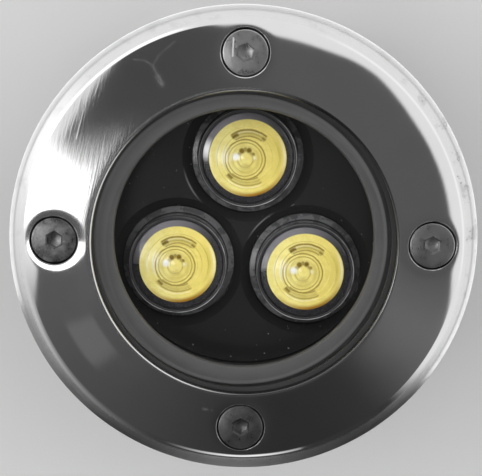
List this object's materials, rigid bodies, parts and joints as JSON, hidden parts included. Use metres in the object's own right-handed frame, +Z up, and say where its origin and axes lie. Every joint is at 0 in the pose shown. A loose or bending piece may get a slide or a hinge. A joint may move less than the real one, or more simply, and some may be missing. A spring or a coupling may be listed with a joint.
{
  "type": "in ground well light",
  "caption": "Round in-ground well light: polished steel face ring with hex-socket screws, recessed glass over a lens cluster, finned housing, gland and buried plastic sleeve.",
  "frame": {"origin": "centre of the ground sleeve's underside, on the lamp's axis", "axes": "+Z up out of the ground along the lamp's axis, +Y towards the first face screw, +X towards the fourth and one conduit socket"},
  "size_m": [0.1, 0.1, 0.0977],
  "materials": {
    "polished_steel": "polished stainless steel with fine polishing lines",
    "screw_steel": "plain stainless steel",
    "glass": "clear toughened glass",
    "grey_silicone": "grey silicone",
    "black_rubber": "black rubber",
    "housing_paint": "black powder coat on die-cast aluminium",
    "plate_gloss_black": "glossy black plastic",
    "holder_smoke": "smoky translucent plastic",
    "lens_clear": "clear moulded acrylic",
    "phosphor": "yellow phosphor under a clear dome",
    "board_white": "white solder mask on aluminium",
    "pad_grey": "soft thermal pad",
    "lead_red": "insulated lead",
    "board_green": "circuit board",
    "capacitor_sleeve": "shrink sleeve on an aluminium can",
    "ferrite": "ferrite",
    "chip_black": "moulded epoxy",
    "terminal_green": "moulded terminal block",
    "gland_nylon": "black nylon",
    "sleeve_plastic": "black polypropylene"
  },
  "bodies": {
    "sleeve": {"ground_sleeve": "sleeve_plastic"},
    "fitting": {"housing": "housing_paint", "flange_seal": "black_rubber", "lower_glass_gasket": "grey_silicone", "inner_plate": "plate_gloss_black", "emitter_board": "board_white", "board_screws": "screw_steel", "thermal_pad": "pad_grey", "lead_grommet": "black_rubber", "emitter_leads": "lead_red", "driver_board": "board_green", "driver_screws": "screw_steel", "driver_capacitor": "capacitor_sleeve", "driver_inductor": "ferrite", "driver_rectifier": "chip_black", "driver_control_chip": "chip_black", "driver_terminal_block": "terminal_green", "rear_gasket": "black_rubber", "rear_cover": "housing_paint", "rear_cover_screws": "screw_steel", "gland_washer": "black_rubber", "gland_body": "gland_nylon", "gland_seal": "black_rubber", "gland_nut": "gland_nylon", "lens_holder_1": "holder_smoke", "lens_1": "lens_clear", "emitter_1": "phosphor", "lens_holder_2": "holder_smoke", "lens_2": "lens_clear", "emitter_2": "phosphor", "lens_holder_3": "holder_smoke", "lens_3": "lens_clear", "emitter_3": "phosphor"},
    "pane": {"glass": "glass"},
    "ring": {"face_ring": "polished_steel", "upper_glass_gasket": "grey_silicone"},
    "clip_1": {"screw_clip_1": "screw_steel"},
    "screw_1": {"face_screw_1": "screw_steel"},
    "clip_2": {"screw_clip_2": "screw_steel"},
    "screw_2": {"face_screw_2": "screw_steel"},
    "clip_3": {"screw_clip_3": "screw_steel"},
    "screw_3": {"face_screw_3": "screw_steel"},
    "clip_4": {"screw_clip_4": "screw_steel"},
    "screw_4": {"face_screw_4": "screw_steel"}
  },
  "joints": [
    {"name": "fitting_lift", "type": "slide", "parent": "sleeve", "child": "fitting", "axis": [0, 0, 1], "range_m": [0, 0.085]},
    {"name": "glass_lift", "type": "slide", "parent": "fitting", "child": "pane", "axis": [0, 0, 1], "range_m": [0, 0.03]},
    {"name": "ring_lift", "type": "slide", "parent": "pane", "child": "ring", "axis": [0, 0, 1], "range_m": [0, 0.025]},
    {"name": "screw_1_rise", "type": "slide", "parent": "ring", "child": "clip_1", "axis": [0, 0, 1], "range_m": [0, 0.0072]},
    {"name": "screw_1_turn", "type": "hinge", "parent": "clip_1", "child": "screw_1", "pos_m": [0, 0.04, 0.0968], "axis": [0, 0, 1], "range_deg": [0, 3241]},
    {"name": "screw_2_rise", "type": "slide", "parent": "ring", "child": "clip_2", "axis": [0, 0, 1], "range_m": [0, 0.0072]},
    {"name": "screw_2_turn", "type": "hinge", "parent": "clip_2", "child": "screw_2", "pos_m": [-0.04, 0, 0.0968], "axis": [0, 0, 1], "range_deg": [0, 3241]},
    {"name": "screw_3_rise", "type": "slide", "parent": "ring", "child": "clip_3", "axis": [0, 0, 1], "range_m": [0, 0.0072]},
    {"name": "screw_3_turn", "type": "hinge", "parent": "clip_3", "child": "screw_3", "pos_m": [0, -0.04, 0.0968], "axis": [0, 0, 1], "range_deg": [0, 3241]},
    {"name": "screw_4_rise", "type": "slide", "parent": "ring", "child": "clip_4", "axis": [0, 0, 1], "range_m": [0, 0.0072]},
    {"name": "screw_4_turn", "type": "hinge", "parent": "clip_4", "child": "screw_4", "pos_m": [0.04, 0, 0.0968], "axis": [0, 0, 1], "range_deg": [0, 3241]}
  ],
  "couplings": [
    {"joint": "screw_1_turn", "follows": "screw_1_rise", "rad_per_m": 7854},
    {"joint": "screw_2_turn", "follows": "screw_2_rise", "rad_per_m": 7854},
    {"joint": "screw_3_turn", "follows": "screw_3_rise", "rad_per_m": 7854},
    {"joint": "screw_4_turn", "follows": "screw_4_rise", "rad_per_m": 7854}
  ]
}
